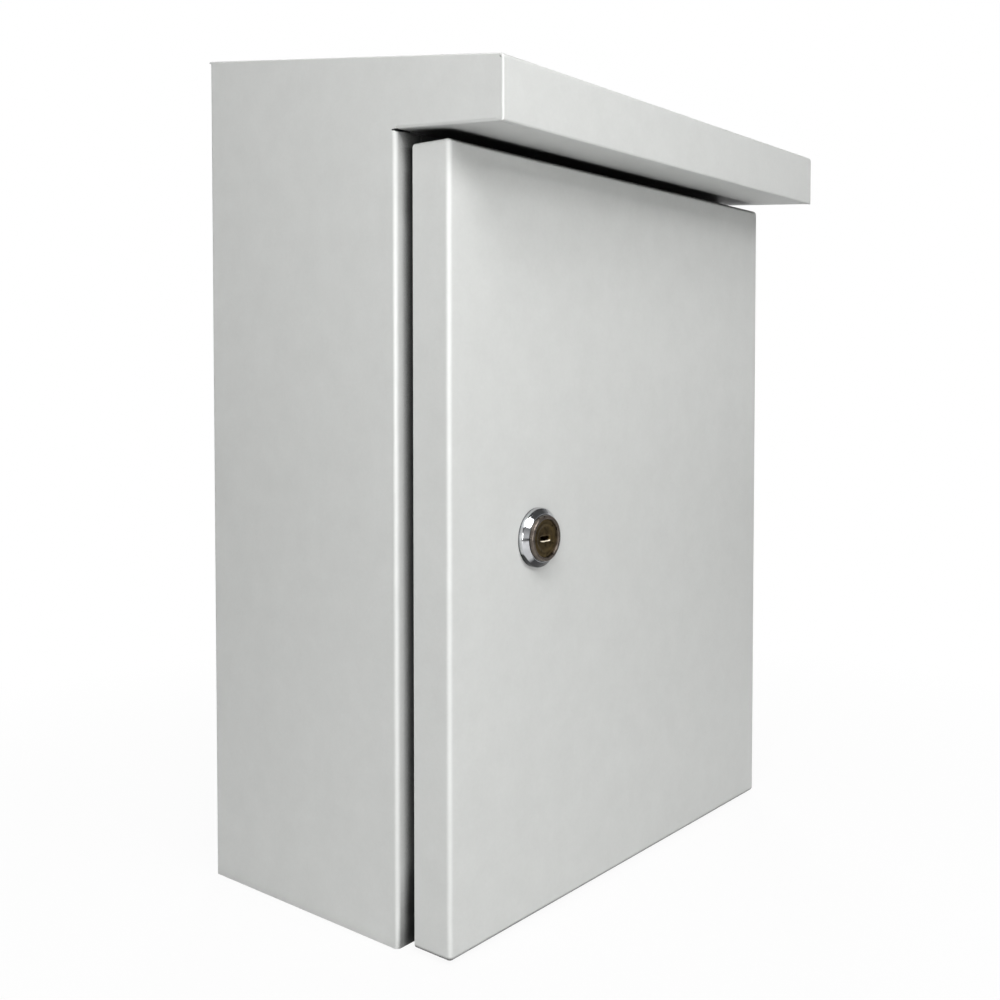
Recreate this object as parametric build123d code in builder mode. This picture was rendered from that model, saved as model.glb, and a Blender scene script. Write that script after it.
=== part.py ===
"""Small outdoor wall cabinet in folded sheet steel, with a rain canopy, a tray door and a cam lock.

Frame: X across, Y to the wall, Z up, in millimetres. The origin is the middle of the base of the whole outline.
"""

import os
from math import atan, cos

from build123d import *

os.makedirs("parts", exist_ok=True)

# Sheet and bends
sheet = 1.2
bend_inside = 1.0
edge_round = 0.9
cut_edge_round = 0.4
seam = 0.3
overrun = 5.0

# Cabinet body
width = 300.0
back_height = 430.0
roof_fall = 30.0
body_depth = 135.0
canopy_reach = 63.0
fascia_height = 28.0
cheek_rise = 5.0
cheek_flange = 10.0
cheek_bend = 0.3
soffit_lip = 3.2
relief_radius = 0.7

# Rim round the door opening
flange_width = 15.0
rim_depth = 20.0
lip_width = 10.0

# Door
door_side_gap = 4.0
door_head_gap = 1.8
door_lift = 1.2
door_standoff = 7.0
door_depth = 22.0
door_bend = 2.4
door_corner_extra = 0.1
seal_width = 12.0
seal_gap = 0.3
seal_corner = 4.0

# Concealed hinges
knuckle_clear = 1.0
hinge_clear = 0.4
hinge_set = 3.0
hinge_inset = 60.0
bracket_lug = 10.0
knuckle_length = 20.0
bracket_plate = 2.0
bracket_reach = 7.0
web_rear = 0.6
pin_share = 0.62
pin_fit = 0.05
pin_head_share = 0.94
pin_head = 1.5
pin_tail = 1.5
axial_gap = 0.3

# Lock
lock_inset = 63.4
lock_height = 187.2
bezel_flare = 2.8
bezel_rim = 2.5
bezel_land = 0.4
bezel_stand = 4.6
bezel_fit = 0.1
ring_radius = 11.2
ring_stand = 6.5
ring_edge = 0.5
ring_shoulder = 1.7
flat_cut = 1.0
barrel_fit = 0.1
ring_wall = 1.9
face_recess = 0.8
face_thick = 3.0
barrel_wall = 2.5
plug_fit = 0.05
keyway_length = 7.4
keyway_height = 2.4
keyway_depth = 8.0
keyway_lead = 0.6
tail_share = 1.0
tail_fit = 0.05
cam_thick = 2.5
cam_catch = 7.0
cam_width = 14.0
cam_clear = 0.6
cam_tip_round = 5.0
lock_nut_flats = 24.0
lock_nut_thick = 4.0
lock_washer_radius = 13.0
lock_washer_thick = 1.0
cam_screw_head_radius = 4.5
cam_screw_head = 2.5
cam_screw_radius = 2.0
cam_screw_depth = 6.0

# Back panel and mounting plate
wall_hole_radius = 4.5
wall_hole_side = 22.0
wall_hole_low = 35.0
wall_hole_drop = 40.0
plate_side_gap = 35.0
plate_base_gap = 30.0
plate_head_gap = 80.0
plate_thick = 1.5
plate_corner = 6.0
stud_inset = 15.0
shoulder_radius = 5.0
shoulder_length = 14.0
stud_radius = 3.0
stud_thread = 12.0
stud_hole_clear = 0.5
washer_radius = 6.0
washer_thick = 1.2
washer_fit = 0.1
nut_flats = 10.0
nut_thick = 5.0
thread_fit = 0.05

# Earth studs
earth_length = 20.0
earth_set = 28.0
earth_z = 45.0
door_earth_side = 25.0
door_earth_rise = 22.8
door_earth_length = 15.0

# Cable entry
gland_side_gap = 50.0
gland_edge_gap = 32.5
gland_open_corner = 5.0
gland_border = 12.0
gasket_thick = 2.0
gland_thick = 1.5
gland_stud_radius = 2.5
gland_stud_length = 11.0
gland_hole_clear = 0.3
gland_nut_flats = 8.0
gland_nut_thick = 4.0
grommet_hole_radius = 14.0
grommet_pitch_share = 0.31
grommet_lip = 4.0
grommet_lip_thick = 2.2
grommet_skirt = 6.0
grommet_wall = 2.0
membrane = 1.0
grommet_fit = 0.1
grommet_taper_share = 0.72

# Derived planes of the body
front_height = back_height - roof_fall
fascia_low = front_height - fascia_height
cheek_rear_low = fascia_low + cheek_rise
overall_depth = body_depth + canopy_reach
wall_y = overall_depth / 2
fascia_y = -overall_depth / 2
flange_y = wall_y - body_depth
lip_y = flange_y - rim_depth
side_x = width / 2
side_in = side_x - sheet
rim_x = side_x - flange_width
lip_x = rim_x - lip_width
half_sheet = sheet / 2
bend_mid = bend_inside + half_sheet
bend_outer = bend_inside + sheet
roof_slope = (back_height - front_height) / overall_depth
roof_angle = atan(roof_slope)
roof_drop = sheet / cos(roof_angle)
half_drop = half_sheet / cos(roof_angle)
cheek_slope = (cheek_rear_low - fascia_low) / canopy_reach
cheek_fold_rear = cheek_rear_low - relief_radius * cheek_slope
cheek_flange_start = soffit_lip + seam
cheek_fold_front = fascia_low + cheek_flange_start * cheek_slope
cheek_fold_run = (canopy_reach - cheek_flange_start - relief_radius) / cos(atan(cheek_slope))
cheek_bend_mid = cheek_bend + half_sheet

# Derived planes of the door
door_width = width - 2 * door_side_gap
door_height = fascia_low - door_head_gap - door_lift
door_corner = door_bend + door_corner_extra
door_back_y = flange_y - door_standoff
door_front_y = door_back_y - door_depth
door_inner_y = door_front_y + sheet
door_top = door_lift + door_height
rim_inset = flange_width - door_side_gap
rim_low = door_lift + rim_inset
rim_high = door_top - rim_inset

# Mid lines of the folded sheet and places of the wall holes
wall_hole_x = side_x - wall_hole_side
wall_hole_high = back_height - wall_hole_drop
mid_x = side_x - half_sheet
rim_mid_x = rim_x - half_sheet
back_mid_y = wall_y - half_sheet
flange_mid_y = flange_y + half_sheet
lip_mid_y = lip_y + half_sheet
flange_top = cheek_rear_low - relief_radius

# Folded wrap: side, back and side, with cheeks, flanges and rims. Half is drawn and mirrored.
with BuildPart() as body_wrap:
    with BuildSketch(Plane.XY.offset(rim_low)):
        with BuildLine():
            FilletPolyline(
                (0, back_mid_y),
                (-mid_x, back_mid_y),
                (-mid_x, flange_mid_y),
                (-rim_mid_x, flange_mid_y),
                (-rim_mid_x, lip_mid_y),
                (-lip_x, lip_mid_y),
                radius=bend_mid,
            )
        trace(line_width=sheet)
    extrude(amount=rim_high - rim_low)
    with BuildSketch(Plane.XY):
        with BuildLine():
            FilletPolyline(
                (0, back_mid_y),
                (-mid_x, back_mid_y),
                (-mid_x, flange_mid_y),
                (-rim_x + sheet, flange_mid_y),
                radius=bend_mid,
            )
        trace(line_width=sheet)
    extrude(amount=flange_top)
    with BuildSketch(Plane.XY):
        with BuildLine():
            FilletPolyline(
                (0, back_mid_y),
                (-mid_x, back_mid_y),
                (-mid_x, flange_y + bend_outer),
                radius=bend_mid,
            )
        trace(line_width=sheet)
    extrude(amount=back_height + overrun)
    with BuildSketch(Plane.YZ.offset(-side_x)):
        with BuildLine():
            Polyline(
                (flange_y + bend_outer, cheek_rear_low),
                (flange_y - relief_radius, cheek_fold_rear),
                (flange_y - relief_radius, cheek_fold_rear + 2 * bend_outer),
                (fascia_y + cheek_flange_start, cheek_fold_front + 2 * bend_outer),
                (fascia_y + cheek_flange_start, cheek_fold_front),
                (fascia_y + sheet, fascia_low + sheet * cheek_slope),
                (fascia_y + sheet, back_height + overrun),
                (flange_y + bend_outer, back_height + overrun),
                close=True,
            )
        make_face()
    extrude(amount=sheet)
    with BuildSketch(Plane.XZ.offset(relief_radius - flange_y)):
        with BuildLine():
            FilletPolyline(
                (-mid_x, cheek_fold_rear + 2 * bend_outer),
                (-mid_x, cheek_fold_rear + half_sheet),
                (cheek_flange - side_x, cheek_fold_rear + half_sheet),
                radius=cheek_bend_mid,
            )
        trace(line_width=sheet)
    extrude(amount=cheek_fold_run, dir=(0, -1, -cheek_slope))
    with BuildSketch(Plane.YZ.offset(-side_x - overrun)):
        with Locations((flange_y + relief_radius / 2, cheek_rear_low - relief_radius / 2)):
            Circle(relief_radius)
    extrude(amount=2 * overrun, mode=Mode.SUBTRACT)
    with BuildSketch(Plane.XZ.offset(-wall_y - overrun)):
        with Locations((-wall_hole_x, wall_hole_low), (-wall_hole_x, wall_hole_high)):
            Circle(wall_hole_radius)
    extrude(amount=sheet + 2 * overrun, mode=Mode.SUBTRACT)
    split(
        bisect_by=Plane(
            origin=(0, wall_y, back_height - roof_drop),
            x_dir=(1, 0, 0),
            z_dir=(0, -roof_slope, 1),
        ),
        keep=Keep.BOTTOM,
    )
    cheek_corner = body_wrap.edges().filter_by(Axis.X).group_by(Axis.Y)[0].sort_by(Axis.Z)[-1]
    chamfer(cheek_corner, bend_inside)
    cheek_toe = body_wrap.edges().filter_by_position(Axis.X, -side_x - seam, -side_x + seam)
    cheek_toe = cheek_toe.filter_by_position(Axis.Y, fascia_y, fascia_y + cheek_flange_start + seam)
    cheek_toe = cheek_toe.filter_by_position(Axis.Z, fascia_low - seam, fascia_low + sheet)
    fillet(cheek_toe.sort_by(Axis.Z)[0], sheet - seam)
    mirror(about=Plane.YZ)
body_wrap.part.label = "body_wrap"
export_step(body_wrap.part, "parts/body_wrap.step")

# Roof, fascia and soffit folded from one sheet, with the top rim of the opening.
roof_at_fascia = front_height - half_drop + half_sheet * roof_slope
roof_at_overrun = back_height - half_drop + overrun * roof_slope
soffit_front = fascia_low + half_sheet + half_sheet * cheek_slope
soffit_rear = soffit_front + canopy_reach * cheek_slope
soffit_half = side_x - cheek_flange
rim_run = rim_x - sheet - bend_inside
with BuildPart() as roof_canopy:
    with BuildSketch(Plane.YZ):
        with BuildLine():
            FilletPolyline(
                (wall_y + overrun, roof_at_overrun),
                (fascia_y + half_sheet, roof_at_fascia),
                (fascia_y + half_sheet, fascia_low),
                radius=bend_mid,
            )
        trace(line_width=sheet)
    extrude(amount=side_x, both=True)
    roof_edges = [
        edge
        for edge in roof_canopy.edges()
        if (edge.center().Y < fascia_y + half_sheet and edge.center().Z < front_height)
        or edge.center().Z > front_height - half_drop + (edge.center().Y - fascia_y) * roof_slope
    ]
    roof_edges = [
        edge
        for edge in roof_edges
        if abs(abs(edge.center().X) - side_x) < seam or abs(edge.center().Z - fascia_low) < seam
    ]
    fillet(roof_edges, edge_round)
    with BuildSketch(Plane.YZ):
        with BuildLine():
            FilletPolyline(
                (fascia_y + half_sheet, soffit_front + bend_outer + bend_outer),
                (fascia_y + half_sheet, soffit_front),
                (flange_mid_y, soffit_rear),
                (flange_mid_y, flange_top + seam),
                radius=cheek_bend_mid,
            )
        trace(line_width=sheet)
    extrude(amount=soffit_half, both=True)
    with BuildSketch(Plane.YZ):
        with BuildLine():
            FilletPolyline(
                (fascia_y + half_sheet, soffit_front + bend_outer + bend_outer),
                (fascia_y + half_sheet, soffit_front),
                (fascia_y + soffit_lip, soffit_front + (soffit_lip - half_sheet) * cheek_slope),
                radius=cheek_bend_mid,
            )
        trace(line_width=sheet)
    extrude(amount=side_in, both=True)
    with BuildSketch(Plane.YZ):
        with BuildLine():
            FilletPolyline(
                (flange_mid_y, flange_top + overrun / 2),
                (flange_mid_y, rim_high - half_sheet),
                (lip_y + sheet + seam, rim_high - half_sheet),
                radius=bend_mid,
            )
        trace(line_width=sheet)
    extrude(amount=rim_run, both=True)
    with BuildSketch(Plane.YZ):
        with BuildLine():
            FilletPolyline(
                (flange_mid_y - overrun, rim_high - half_sheet),
                (lip_mid_y, rim_high - half_sheet),
                (lip_mid_y, rim_high - lip_width),
                radius=bend_mid,
            )
        trace(line_width=sheet)
    extrude(amount=lip_x, both=True)
    split(bisect_by=Plane.XZ.offset(-wall_y), keep=Keep.TOP)
roof_canopy.part.label = "roof_canopy"
export_step(roof_canopy.part, "parts/roof_canopy.step")

# Floor sheet with the bottom rim of the opening and the cable entry cut-out.
floor_front = flange_y + sheet + bend_inside
floor_back = wall_y - sheet
gland_open_x = width - 2 * gland_side_gap
gland_open_y = body_depth - 2 * gland_edge_gap
gland_middle_y = (flange_y + wall_y) / 2
with BuildPart() as floor_panel:
    with BuildSketch(Plane.XY):
        with Locations((0, (floor_front + floor_back) / 2)):
            RectangleRounded(2 * side_in, floor_back - floor_front, bend_inside + seam)
    extrude(amount=sheet)
    with BuildSketch(Plane.YZ):
        with BuildLine():
            FilletPolyline(
                (floor_front + overrun, half_sheet),
                (flange_mid_y, half_sheet),
                (flange_mid_y, rim_low + half_sheet),
                (lip_y + sheet + seam, rim_low + half_sheet),
                radius=bend_mid,
            )
        trace(line_width=sheet)
    extrude(amount=rim_run, both=True)
    with BuildSketch(Plane.YZ):
        with BuildLine():
            FilletPolyline(
                (flange_mid_y - overrun, rim_low + half_sheet),
                (lip_mid_y, rim_low + half_sheet),
                (lip_mid_y, rim_low + lip_width),
                radius=bend_mid,
            )
        trace(line_width=sheet)
    extrude(amount=lip_x, both=True)
    with BuildSketch(Plane.XY.offset(-overrun)):
        with Locations((0, gland_middle_y)):
            RectangleRounded(gland_open_x, gland_open_y, gland_open_corner)
    extrude(amount=2 * overrun, mode=Mode.SUBTRACT)
floor_panel.part.label = "floor_panel"
export_step(floor_panel.part, "parts/floor_panel.step")

# Cable entry: foam frame, plate, studs, nuts and closed membrane grommets.
gland_hole_radius = gland_stud_radius + gland_hole_clear
grommet_pitch = gland_open_x * grommet_pitch_share
gland_x = gland_open_x + 2 * gland_border
gland_y = gland_open_y + 2 * gland_border
gland_stud_x = gland_open_x + gland_border
gland_stud_y = gland_open_y + gland_border
gasket_top = sheet + gasket_thick
gland_top = gasket_top + gland_thick
with BuildPart() as gland_gasket:
    with BuildSketch(Plane.XY.offset(sheet)):
        with Locations((0, gland_middle_y)):
            RectangleRounded(gland_x, gland_y, gland_open_corner)
            RectangleRounded(gland_open_x, gland_open_y, gland_open_corner, mode=Mode.SUBTRACT)
            with GridLocations(gland_stud_x, gland_stud_y, 2, 2):
                Circle(gland_hole_radius, mode=Mode.SUBTRACT)
    extrude(amount=gasket_thick)
gland_gasket.part.label = "gland_gasket"
export_step(gland_gasket.part, "parts/gland_gasket.step")

with BuildPart() as gland_plate:
    with BuildSketch(Plane.XY.offset(gasket_top)):
        with Locations((0, gland_middle_y)):
            RectangleRounded(gland_x, gland_y, gland_open_corner)
            with GridLocations(gland_stud_x, gland_stud_y, 2, 2):
                Circle(gland_hole_radius, mode=Mode.SUBTRACT)
            with GridLocations(grommet_pitch, 0, 3, 1):
                Circle(grommet_hole_radius, mode=Mode.SUBTRACT)
    extrude(amount=gland_thick)
gland_plate.part.label = "gland_plate"
export_step(gland_plate.part, "parts/gland_plate.step")

with BuildPart() as gland_studs:
    with BuildSketch(Plane.XY.offset(sheet)):
        with Locations((0, gland_middle_y)):
            with GridLocations(gland_stud_x, gland_stud_y, 2, 2):
                Circle(gland_stud_radius)
    extrude(amount=gland_stud_length)
    chamfer(gland_studs.faces().filter_by(Axis.Z).group_by(Axis.Z)[-1].edges(), cut_edge_round)
gland_studs.part.label = "gland_studs"
export_step(gland_studs.part, "parts/gland_studs.step")

with BuildPart() as gland_nuts:
    with BuildSketch(Plane.XY.offset(gland_top)):
        with Locations((0, gland_middle_y)):
            with GridLocations(gland_stud_x, gland_stud_y, 2, 2):
                RegularPolygon(gland_nut_flats / 2, 6, major_radius=False)
                Circle(gland_stud_radius + thread_fit, mode=Mode.SUBTRACT)
    extrude(amount=gland_nut_thick)
gland_nuts.part.label = "gland_nuts"
export_step(gland_nuts.part, "parts/gland_nuts.step")

grommet_outer = grommet_hole_radius + grommet_lip
grommet_neck = grommet_hole_radius - grommet_fit
grommet_top = gland_top + grommet_skirt
grommet_tip = grommet_neck * grommet_taper_share
with BuildPart() as grommet:
    with BuildSketch(Plane.XZ):
        with BuildLine():
            Polyline(
                (0, grommet_top - membrane),
                (0, grommet_top),
                (grommet_tip, grommet_top),
                (grommet_neck, gland_top + grommet_lip_thick),
                (grommet_outer, gland_top + grommet_lip_thick / 2),
                (grommet_outer, gland_top),
                (grommet_neck, gland_top),
                (grommet_neck, gasket_top),
                (grommet_outer, gasket_top),
                (grommet_outer, gasket_top - grommet_lip_thick / 2),
                (grommet_neck, gasket_top - grommet_lip_thick),
                (grommet_neck - grommet_wall, gasket_top - grommet_lip_thick),
                (grommet_tip - membrane, grommet_top - membrane),
                close=True,
            )
        make_face()
    revolve(axis=Axis.Z)
with BuildPart() as cable_grommets:
    with Locations((0, gland_middle_y, 0)):
        with GridLocations(grommet_pitch, 0, 3, 1):
            add(grommet.part)
cable_grommets.part.label = "cable_grommets"
export_step(cable_grommets.part, "parts/cable_grommets.step")

# Equipment plate on shouldered studs that are welded to the back.
back_in = wall_y - sheet
plate_width = width - 2 * plate_side_gap
plate_height = back_height - plate_head_gap - plate_base_gap
plate_middle = plate_base_gap + plate_height / 2
stud_x = plate_width / 2 - stud_inset
stud_z = plate_height / 2 - stud_inset
stud_hole_radius = stud_radius + stud_hole_clear
plate_back = back_in - shoulder_length
plate_front = plate_back - plate_thick
washer_front = plate_front - washer_thick
with BuildPart() as plate_studs:
    with BuildSketch(Plane.XZ.offset(-back_in)):
        with Locations((0, plate_middle)):
            with GridLocations(2 * stud_x, 2 * stud_z, 2, 2):
                Circle(shoulder_radius)
    extrude(amount=shoulder_length)
    with BuildSketch(Plane.XZ.offset(-plate_back)):
        with Locations((0, plate_middle)):
            with GridLocations(2 * stud_x, 2 * stud_z, 2, 2):
                Circle(stud_radius)
    extrude(amount=stud_thread)
    chamfer(plate_studs.faces().filter_by(Axis.Y).group_by(Axis.Y)[0].edges(), cut_edge_round)
plate_studs.part.label = "plate_studs"
export_step(plate_studs.part, "parts/plate_studs.step")

with BuildPart() as mounting_plate:
    with BuildSketch(Plane.XZ.offset(-plate_back)):
        with Locations((0, plate_middle)):
            RectangleRounded(plate_width, plate_height, plate_corner)
            with GridLocations(2 * stud_x, 2 * stud_z, 2, 2):
                Circle(stud_hole_radius, mode=Mode.SUBTRACT)
    extrude(amount=plate_thick)
mounting_plate.part.label = "mounting_plate"
export_step(mounting_plate.part, "parts/mounting_plate.step")

with BuildPart() as plate_washers:
    with BuildSketch(Plane.XZ.offset(-plate_front)):
        with Locations((0, plate_middle)):
            with GridLocations(2 * stud_x, 2 * stud_z, 2, 2):
                Circle(washer_radius)
                Circle(stud_radius + washer_fit, mode=Mode.SUBTRACT)
    extrude(amount=washer_thick)
plate_washers.part.label = "plate_washers"
export_step(plate_washers.part, "parts/plate_washers.step")

with BuildPart() as plate_nuts:
    with BuildSketch(Plane.XZ.offset(-washer_front)):
        with Locations((0, plate_middle)):
            with GridLocations(2 * stud_x, 2 * stud_z, 2, 2):
                RegularPolygon(nut_flats / 2, 6, major_radius=False)
                Circle(stud_radius + thread_fit, mode=Mode.SUBTRACT)
    extrude(amount=nut_thick)
plate_nuts.part.label = "plate_nuts"
export_step(plate_nuts.part, "parts/plate_nuts.step")

# Body earth stud on the hinge side wall, with washers and nuts.
earth_y = flange_y + earth_set
with BuildPart() as earth_stud:
    with BuildSketch(Plane.YZ.offset(side_in)):
        with Locations((earth_y, earth_z)):
            Circle(stud_radius)
    extrude(amount=-earth_length)
    chamfer(earth_stud.faces().sort_by(Axis.X)[0].edges(), cut_edge_round)
earth_stud.part.label = "earth_stud"
export_step(earth_stud.part, "parts/earth_stud.step")

with BuildPart() as earth_nuts:
    with BuildSketch(Plane.YZ.offset(side_in)):
        with Locations((earth_y, earth_z)):
            RegularPolygon(nut_flats / 2, 6, major_radius=False)
            Circle(stud_radius + thread_fit, mode=Mode.SUBTRACT)
    extrude(amount=-nut_thick)
    with BuildSketch(Plane.YZ.offset(side_in - nut_thick - 2 * washer_thick)):
        with Locations((earth_y, earth_z)):
            RegularPolygon(nut_flats / 2, 6, major_radius=False)
            Circle(stud_radius + thread_fit, mode=Mode.SUBTRACT)
    extrude(amount=-nut_thick)
earth_nuts.part.label = "earth_nuts"
export_step(earth_nuts.part, "parts/earth_nuts.step")

with BuildPart() as earth_washers:
    with BuildSketch(Plane.YZ.offset(side_in - nut_thick)):
        with Locations((earth_y, earth_z)):
            Circle(washer_radius)
            Circle(stud_radius + washer_fit, mode=Mode.SUBTRACT)
    extrude(amount=-2 * washer_thick)
earth_washers.part.label = "earth_washers"
export_step(earth_washers.part, "parts/earth_washers.step")

# Door tray: folded on four sides, corners welded and ground round.
lock_x = -door_width / 2 + lock_inset
barrel_radius = ring_radius - ring_shoulder
barrel_flat = barrel_radius - flat_cut
door_middle = door_lift + door_height / 2
with BuildPart() as door_panel:
    with BuildSketch(Plane.XZ.offset(-door_back_y)):
        with Locations((0, door_middle)):
            RectangleRounded(door_width, door_height, door_corner)
    extrude(amount=door_depth)
    fillet(door_panel.faces().sort_by(Axis.Y)[0].edges(), door_bend)
    offset(amount=-sheet, openings=door_panel.faces().sort_by(Axis.Y)[-1])
    with BuildSketch(Plane.XZ.offset(-door_front_y - overrun)) as lock_hole:
        with Locations((lock_x, lock_height)):
            Circle(barrel_radius + barrel_fit)
            Rectangle(
                2 * barrel_radius + overrun,
                2 * barrel_flat + 2 * barrel_fit,
                mode=Mode.INTERSECT,
            )
    extrude(amount=2 * overrun, both=True, mode=Mode.SUBTRACT)
door_panel.part.label = "door_panel"
export_step(door_panel.part, "parts/door_panel.step")

# Foam seal on the door, over the lip of the rim.
seal_back_y = lip_y - seal_gap
seal_x = lip_x - (seal_width - lip_width) / 2 + seal_width
seal_low = rim_low - (seal_width - lip_width) / 2
seal_high = rim_high + (seal_width - lip_width) / 2
with BuildPart() as door_seal:
    with BuildSketch(Plane.XZ.offset(-seal_back_y)):
        with Locations((0, (seal_low + seal_high) / 2)):
            RectangleRounded(2 * seal_x, seal_high - seal_low, seal_corner)
            Rectangle(
                2 * seal_x - 2 * seal_width,
                seal_high - seal_low - 2 * seal_width,
                mode=Mode.SUBTRACT,
            )
    extrude(amount=seal_back_y - door_inner_y)
door_seal.part.label = "door_seal"
export_step(door_seal.part, "parts/door_seal.step")

# Concealed hinges: fixed bracket with two lugs, door knuckle between them, loose pin.
return_in = door_width / 2 - sheet
hinge_room = return_in - rim_x - bracket_plate
knuckle_radius = (hinge_room - hinge_clear - knuckle_clear) / 2
pin_radius = knuckle_radius * pin_share
pin_head_radius = knuckle_radius * pin_head_share
hinge_x = return_in - hinge_clear - knuckle_radius
hinge_y = door_back_y - hinge_set
hinge_low = door_lift + hinge_inset
hinge_high = door_top - hinge_inset
hinge_half = knuckle_length / 2 + bracket_lug
hinge_heights = {"lower": hinge_low, "upper": hinge_high}
for place, height in hinge_heights.items():
    with BuildPart() as hinge_bracket:
        with BuildSketch(Plane.XY.offset(height - hinge_half)):
            with Locations((rim_x + bracket_plate / 2, hinge_y + web_rear - bracket_reach / 2)):
                Rectangle(bracket_plate, bracket_reach)
            with Locations(((rim_x + hinge_x) / 2, hinge_y + (web_rear - knuckle_radius) / 2)):
                Rectangle(hinge_x - rim_x, web_rear + knuckle_radius)
            with Locations((hinge_x, hinge_y)):
                Circle(knuckle_radius)
                Circle(pin_radius + pin_fit, mode=Mode.SUBTRACT)
        extrude(amount=2 * hinge_half)
        with BuildSketch(Plane.XY.offset(height - knuckle_length / 2)):
            with Locations((rim_x + bracket_plate + hinge_x, hinge_y)):
                Rectangle(2 * hinge_x, 2 * hinge_half)
        extrude(amount=knuckle_length, mode=Mode.SUBTRACT)
    hinge_bracket.part.label = "hinge_bracket_" + place
    export_step(hinge_bracket.part, "parts/hinge_bracket_" + place + ".step")

    with BuildPart() as hinge_knuckle:
        with BuildSketch(Plane.XY.offset(height - knuckle_length / 2 + axial_gap)):
            with Locations(((hinge_x + return_in) / 2, hinge_y + (web_rear - knuckle_radius) / 2)):
                Rectangle(return_in - hinge_x, web_rear + knuckle_radius)
            with Locations((hinge_x, hinge_y)):
                Circle(knuckle_radius)
                Circle(pin_radius + pin_fit, mode=Mode.SUBTRACT)
        extrude(amount=knuckle_length - 2 * axial_gap)
    hinge_knuckle.part.label = "hinge_knuckle_" + place
    export_step(hinge_knuckle.part, "parts/hinge_knuckle_" + place + ".step")

    with BuildPart() as hinge_pin:
        with BuildSketch(Plane.XY.offset(height - hinge_half - pin_tail)):
            with Locations((hinge_x, hinge_y)):
                Circle(pin_radius)
        extrude(amount=2 * hinge_half + pin_tail)
        with BuildSketch(Plane.XY.offset(height + hinge_half)):
            with Locations((hinge_x, hinge_y)):
                Circle(pin_head_radius)
        extrude(amount=pin_head)
        chamfer(hinge_pin.faces().sort_by(Axis.Z)[0].edges(), cut_edge_round)
        chamfer(hinge_pin.faces().sort_by(Axis.Z)[-1].edges(), cut_edge_round)
    hinge_pin.part.label = "hinge_pin_" + place
    export_step(hinge_pin.part, "parts/hinge_pin_" + place + ".step")

# Door earth stud, washer and nut on the inner face near the hinge side.
door_earth_x = lip_x - door_earth_side
door_earth_z = rim_low + lip_width + door_earth_rise
with BuildPart() as door_earth_stud:
    with BuildSketch(Plane.XZ.offset(-door_inner_y)):
        with Locations((door_earth_x, door_earth_z)):
            Circle(stud_radius)
    extrude(amount=-door_earth_length)
    chamfer(door_earth_stud.faces().sort_by(Axis.Y)[-1].edges(), cut_edge_round)
door_earth_stud.part.label = "door_earth_stud"
export_step(door_earth_stud.part, "parts/door_earth_stud.step")

with BuildPart() as door_earth_nut:
    with BuildSketch(Plane.XZ.offset(-door_inner_y - washer_thick)):
        with Locations((door_earth_x, door_earth_z)):
            RegularPolygon(nut_flats / 2, 6, major_radius=False)
            Circle(stud_radius + thread_fit, mode=Mode.SUBTRACT)
    extrude(amount=-nut_thick)
door_earth_nut.part.label = "door_earth_nut"
export_step(door_earth_nut.part, "parts/door_earth_nut.step")

with BuildPart() as door_earth_washer:
    with BuildSketch(Plane.XZ.offset(-door_inner_y)):
        with Locations((door_earth_x, door_earth_z)):
            Circle(washer_radius)
            Circle(stud_radius + washer_fit, mode=Mode.SUBTRACT)
    extrude(amount=-washer_thick)
door_earth_washer.part.label = "door_earth_washer"
export_step(door_earth_washer.part, "parts/door_earth_washer.step")

# Cam lock: chrome bezel, brass housing with double flats, washer and nut behind the door skin.
bezel_bore = ring_radius + bezel_fit
bezel_top_radius = bezel_bore + bezel_land
bezel_radius = bezel_top_radius + bezel_flare
face_radius = ring_radius - ring_wall
plug_radius = barrel_radius - barrel_wall
tail_side = plug_radius * tail_share
cam_reach = lip_x + lock_x + cam_catch
cam_front_y = lip_y + sheet + cam_clear
cam_back_y = cam_front_y + cam_thick
barrel_end_y = cam_front_y - seam
ring_front_y = door_front_y - ring_stand
face_y = ring_front_y + face_recess
face_back_y = face_y + face_thick
counterbore_y = face_back_y + plug_fit
bezel_front_y = door_front_y - bezel_stand
lock_axis = Axis((lock_x, 0, lock_height), (0, 1, 0))
with BuildPart() as lock_bezel:
    with BuildSketch(Plane.XY.offset(lock_height)):
        with BuildLine():
            Polyline(
                (lock_x + bezel_bore, door_front_y),
                (lock_x + bezel_radius, door_front_y),
                (lock_x + bezel_radius, door_front_y - bezel_rim),
                (lock_x + bezel_top_radius, bezel_front_y),
                (lock_x + bezel_bore, bezel_front_y),
                close=True,
            )
        make_face()
    revolve(axis=lock_axis)
    fillet(lock_bezel.edges().filter_by(GeomType.CIRCLE).group_by(SortBy.RADIUS)[-1], cut_edge_round)
lock_bezel.part.label = "lock_bezel"
export_step(lock_bezel.part, "parts/lock_bezel.step")

with BuildPart() as lock_housing:
    with BuildSketch(Plane.XZ.offset(-door_front_y)):
        with Locations((lock_x, lock_height)):
            Circle(ring_radius)
    extrude(amount=ring_stand)
    chamfer(lock_housing.faces().sort_by(Axis.Y)[0].edges(), ring_edge)
    with BuildSketch(Plane.XZ.offset(-barrel_end_y)):
        with Locations((lock_x, lock_height)):
            Circle(barrel_radius)
            Rectangle(2 * barrel_radius + overrun, 2 * barrel_flat, mode=Mode.INTERSECT)
    extrude(amount=barrel_end_y - door_front_y)
    with BuildSketch(Plane.XZ.offset(-counterbore_y)):
        with Locations((lock_x, lock_height)):
            Circle(face_radius + plug_fit)
    extrude(amount=ring_stand + overrun, mode=Mode.SUBTRACT)
    with BuildSketch(Plane.XZ.offset(-barrel_end_y - overrun)):
        with Locations((lock_x, lock_height)):
            Circle(plug_radius + plug_fit)
    extrude(amount=barrel_end_y - door_front_y + ring_stand + 2 * overrun, mode=Mode.SUBTRACT)
lock_housing.part.label = "lock_housing"
export_step(lock_housing.part, "parts/lock_housing.step")

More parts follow.
